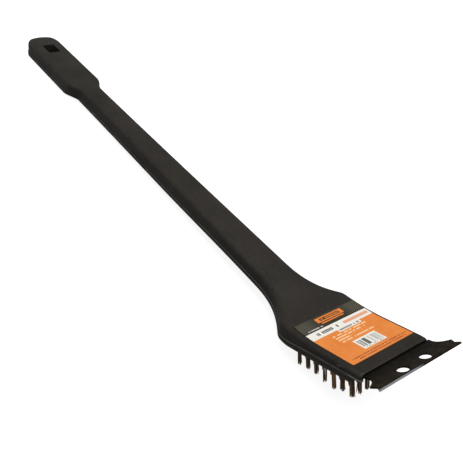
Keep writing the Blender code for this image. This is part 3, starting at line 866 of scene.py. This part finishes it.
def coated_steel(wear):
    """Dark coated steel: satin, slightly brown, darkened towards the root with painted shade from the nose,
    with the coat worn off the near half of the front edge."""
    made, tree, shader = new_material("coated_steel")
    place = place_of(tree)
    marks = use_group(tree, wear, Place=place, Speck_Scale=520.0, Grain_Scale=1500.0, Cloud_Scale=260.0)
    along, across = print_place(tree)
    ragged = math_node(tree, "MULTIPLY", noise(tree, place, 420.0, 3.0), 0.012)
    front = spread(tree, math_node(tree, "SUBTRACT", along, ragged), 0.976, 0.982)
    fade = spread(tree, across, 0.34, 0.52, 1.0, 0.0)
    bare = math_node(tree, "MULTIPLY", front, fade)
    colour = paint(tree, (0.0075, 0.0054, 0.0036, 1.0), (0.0190, 0.0145, 0.0092, 1.0),
                   marks.outputs["Clouds"])
    colour = paint(tree, colour, (0.050, 0.044, 0.034, 1.0),
                   math_node(tree, "MULTIPLY", marks.outputs["Specks"], 0.4))
    # Painted shade: the plate goes near black towards the root, where the nose shades it.
    root = spread(tree, along, 0.34, 0.78, 0.85, 0.0)
    colour = paint(tree, colour, (0.0015, 0.0013, 0.0010, 1.0), root)
    colour = paint(tree, colour, (0.62, 0.63, 0.70, 1.0), bare)
    plug(tree, shader.inputs["Base Color"], colour)
    plug(tree, shader.inputs["Metallic"], bare)
    plug(tree, shader.inputs["Roughness"], spread(tree, marks.outputs["Clouds"], 0.0, 1.0, 0.42, 0.32))
    shader.inputs["Specular IOR Level"].default_value = 0.03
    plug(tree, shader.inputs["Normal"], bump(tree, marks.outputs["Grain"], 0.00005, 0.5))
    return made


def brassed_wire():
    """Brassed steel wire: each wire has its own tone, darkened towards the root with painted shade from the
    head, with fine drawing lines along it."""
    made, tree, shader = new_material("brassed_wire")
    streak = noise(tree, place_of(tree), 1400.0, 2.0)
    colour = paint(tree, (0.070, 0.036, 0.016, 1.0), (0.66, 0.40, 0.155, 1.0),
                   spread(tree, stored(tree, "tone"), 0.35, 1.0))
    colour = paint(tree, colour, (0.060, 0.036, 0.018, 1.0), spread(tree, streak, 0.45, 0.75, 0.0, 0.6))
    # Painted shade: the wires go dark towards the root, under the head.
    colour = paint(tree, colour, (0.020, 0.014, 0.010, 1.0),
                   spread(tree, stored(tree, "rise"), 0.0, 0.34, 0.9, 0.0))
    plug(tree, shader.inputs["Base Color"], colour)
    shader.inputs["Metallic"].default_value = 0.55
    plug(tree, shader.inputs["Roughness"], spread(tree, streak, 0.3, 0.7, 0.32, 0.5))
    return made


def label_film(wear):
    """Printed film. Down runs from the rear edge and across from the middle, both in
    millimetres. All print is plain bars, dashes and hatching."""
    made, tree, shader = new_material("label_film")
    u, v = print_place(tree)
    length = 1000.0 * (LABEL_FRONT_X - LABEL_REAR_X)
    width = 2000.0 * LABEL_HALF
    down = math_node(tree, "MULTIPLY", u, length)
    across = math_node(tree, "MULTIPLY", math_node(tree, "SUBTRACT", v, 0.5), width)
    between = between_group()
    dashes = dashes_group(between)

    def band(value, low, high, soft=0.12):
        return use_group(tree, between, Value=value, Low=low, High=high, Soft=soft).outputs[0]

    def box(top, bottom, left, right):
        return math_node(tree, "MULTIPLY", band(down, top, bottom), band(across, left, right))

    def row(centre, height, start, end, cells, fill):
        return use_group(tree, dashes, Down=down, Across=across, Row=centre, Height=height,
                         Start=start, End=end, Cells=cells, Fill=fill).outputs[0]

    place = place_of(tree)
    marks = use_group(tree, wear, Place=place, Speck_Scale=1300.0, Grain_Scale=900.0, Cloud_Scale=60.0)
    colour = paint(tree, ORANGE, (0.72, 0.235, 0.045, 1.0), marks.outputs["Clouds"])
    colour = paint(tree, colour, PALE, math_node(tree, "MULTIPLY", marks.outputs["Specks"], 0.8))
    colour = paint(tree, colour, OLIVE, band(down, -1.0, STRIP_REAR))
    away = math_node(tree, "ABSOLUTE", across)
    from_rear = math_node(tree, "POWER", math_node(tree, "ADD", down, 3.0), 2.0)
    ring = math_node(tree, "ADD", math_node(tree, "POWER", away, 2.0), from_rear)
    ring = math_node(tree, "POWER", ring, 0.5)
    arcs = math_node(tree, "SINE", math_node(tree, "MULTIPLY", ring, 5.2))
    ends = spread(tree, away, 9.0, 16.0)
    hatch = math_node(tree, "MULTIPLY", math_node(tree, "MULTIPLY", spread(tree, arcs, 0.1, 0.9), ends),
                      band(down, 0.6, STRIP_REAR - 0.7, 1.2))
    colour = paint(tree, colour, HATCH, hatch)
    colour = paint(tree, colour, ORANGE, box(1.5, 5.4, -9.0, 10.5))
    colour = paint(tree, colour, OLIVE, box(2.5, 4.4, -6.5, 8.0))
    colour = paint(tree, colour, ORANGE, row(3.45, 1.0, -5.8, 7.2, 0.8, 0.9))
    colour = paint(tree, colour, ORANGE, box(6.0, 6.9, -7.5, 9.0))
    colour = paint(tree, colour, WHITE, row(8.1, 0.6, -19.0, -8.5, 1.9, 0.85))
    colour = paint(tree, colour, WHITE, band(down, STRIP_REAR, STRIP_FRONT))
    colour = paint(tree, colour, WHITE, box(STRIP_FRONT - 0.5, TAB_FRONT, -5.2, 11.4))
    colour = paint(tree, colour, INK, row(12.6, 2.3, -17.0, 1.4, 0.75, 0.9))
    colour = paint(tree, colour, ORANGE, row(12.6, 2.3, 2.8, 21.0, 0.75, 0.9))
    colour = paint(tree, colour, INK, row(16.5, 1.3, -4.2, 10.6, 0.95, 0.88))
    for index, end in enumerate((12.8, 9.5, -3.0, 12.0)):
        colour = paint(tree, colour, CREAM, row(19.3 + 2.15 * index, 0.95, -12.2, end, 1.25, 0.84))
    colour = paint(tree, colour, WHITE, box(PATCH_REAR, PATCH_FRONT, -7.3, 9.0))
    colour = paint(tree, colour, INK, math_node(tree, "MULTIPLY", 0.9, bar_pattern(
        tree, across, box(PATCH_REAR + 1.3, PATCH_FRONT - 1.8, -6.0, 0.2))))
    colour = paint(tree, colour, INK, math_node(tree, "MULTIPLY", 0.6, bar_pattern(
        tree, across, box(PATCH_REAR + 1.3, PATCH_FRONT - 1.8, 1.8, 8.2))))
    colour = paint(tree, colour, INK, row(PATCH_FRONT - 0.9, 0.6, -5.5, 7.5, 1.6, 0.6))
    colour = paint(tree, colour, DARK_RED, row(40.2, 0.75, -19.4, 20.4, 1.7, 0.86))
    colour = paint(tree, colour, DARK_RED, row(41.9, 0.75, -16.3, 18.5, 1.7, 0.86))
    colour = paint(tree, colour, EDGE_BROWN, spread(tree, down, length - 0.5, length - 0.1))
    plug(tree, shader.inputs["Base Color"], colour)
    shader.inputs["Roughness"].default_value = 0.42
    shader.inputs["Specular IOR Level"].default_value = 0.4
    plug(tree, shader.inputs["Normal"], bump(tree, marks.outputs["Grain"], 0.00002, 0.35))
    return made


def bar_pattern(tree, across, inside):
    """Plain bars of random width inside a mask."""
    random = tree.nodes.new("ShaderNodeTexWhiteNoise")
    random.noise_dimensions = "1D"
    tree.links.new(math_node(tree, "FLOOR", math_node(tree, "MULTIPLY", across, 2.4)), random.inputs["W"])
    return math_node(tree, "MULTIPLY", math_node(tree, "LESS_THAN", random.outputs["Value"], 0.55), inside)


# ---------------------------------------------------------------- stage


def make_camera():
    """The camera, placed and aimed in the head's frame."""
    data = bpy.data.cameras.new("camera")
    data.lens = CAMERA_LENS
    data.sensor_width = 36.0
    data.clip_start = 0.01
    camera = bpy.data.objects.new("camera", data)
    bpy.context.collection.objects.link(camera)
    aim = Matrix.Rotation(CAMERA_AZIMUTH, 4, "Z") @ Matrix.Rotation(math.pi / 2.0 - CAMERA_ELEVATION, 4, "X")
    aim = aim @ Matrix.Rotation(CAMERA_ROLL, 4, "Z")
    camera.matrix_world = REST @ Matrix.Translation(CAMERA_PLACE) @ aim
    bpy.context.scene.camera = camera


def add_light(name, place, size, power):
    """A square area light aimed at the middle of the brush."""
    data = bpy.data.lights.new(name, "AREA")
    data.size = size
    data.energy = power
    light = bpy.data.objects.new(name, data)
    bpy.context.collection.objects.link(light)
    light.location = place
    light.rotation_euler = (Vector((0.0, 0.0, 0.02)) - Vector(place)).to_track_quat("-Z", "Y").to_euler()


def make_stage():
    """Pale floor, one soft light and a pale surround."""
    low = cad_box[0][2] - FLOOR_GAP
    corners = np.array([(x, y, low) for x, y in ((-1, -1), (1, -1), (1, 1), (-1, 1))])
    corners[:, :2] *= FLOOR_HALF
    floor = make_mesh("floor", corners, [[0, 1, 2, 3]])
    made, tree, shader = new_material("pale_floor")
    tone = paint(tree, (0.30, 0.30, 0.30, 1.0), (0.33, 0.33, 0.33, 1.0), noise(tree, place_of(tree), 3.0))
    plug(tree, shader.inputs["Base Color"], tone)
    shader.inputs["Roughness"].default_value = 0.9
    shader.inputs["Specular IOR Level"].default_value = 0.1
    shader.inputs["Emission Color"].default_value = (1.0, 1.0, 1.0, 1.0)
    seen = tree.nodes.new("ShaderNodeLightPath").outputs["Is Camera Ray"]
    plug(tree, shader.inputs["Emission Strength"], math_node(tree, "MULTIPLY", seen, FLOOR_GLOW))
    floor.data.materials.append(made)
    add_light("overhead", LIGHT_PLACE, LIGHT_SIZE, LIGHT_POWER)
    world = bpy.data.worlds.new("surround")
    world.use_nodes = True
    sky = world.node_tree.nodes["Background"]
    sky.inputs["Color"].default_value = (1.0, 1.0, 1.0, 1.0)
    sky.inputs["Strength"].default_value = SURROUND
    bpy.context.scene.world = world
    bpy.context.scene.view_settings.view_transform = "Standard"


def dress(piece, material, slot, *nodes):
    """Finish a piece: its material and the body it rides on; the parts of model.glb that it stands for are
    hidden.
    """
    piece.data.materials.clear()
    piece.data.materials.append(material)
    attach(piece, "root")
    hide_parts(*nodes)


def make_brush():
    """All pieces of the brush."""
    wear = wear_group()
    plastic = moulded_plastic(wear)
    wire = brassed_wire()
    dress(make_moulding(), plastic, "moulded_plastic", "handle_body")
    dress(make_posts(), plastic, "moulded_plastic", "handle_body")
    dress(make_mould_mark(), plastic, "moulded_plastic", "handle_body")
    dress(make_scraper(), coated_steel(wear), "scraper_steel", "scraper")
    dress(make_label(), label_film(wear), "label_film", "label")
    rng = np.random.default_rng(TUFT_SEED)
    for name, x, y in tuft_places():
        wires = WIRES_IN_THIN_TUFT if name == THIN_TUFT else WIRES_PER_TUFT + int(rng.integers(-2, 3))
        longer = LONGER.get(name, rng.uniform(0.0, 0.0004))
        dress(make_tuft(name, x, y, wires, longer, rng), wire, "tuft_wire", f"tuft_{name}")


make_camera()
make_stage()
make_brush()
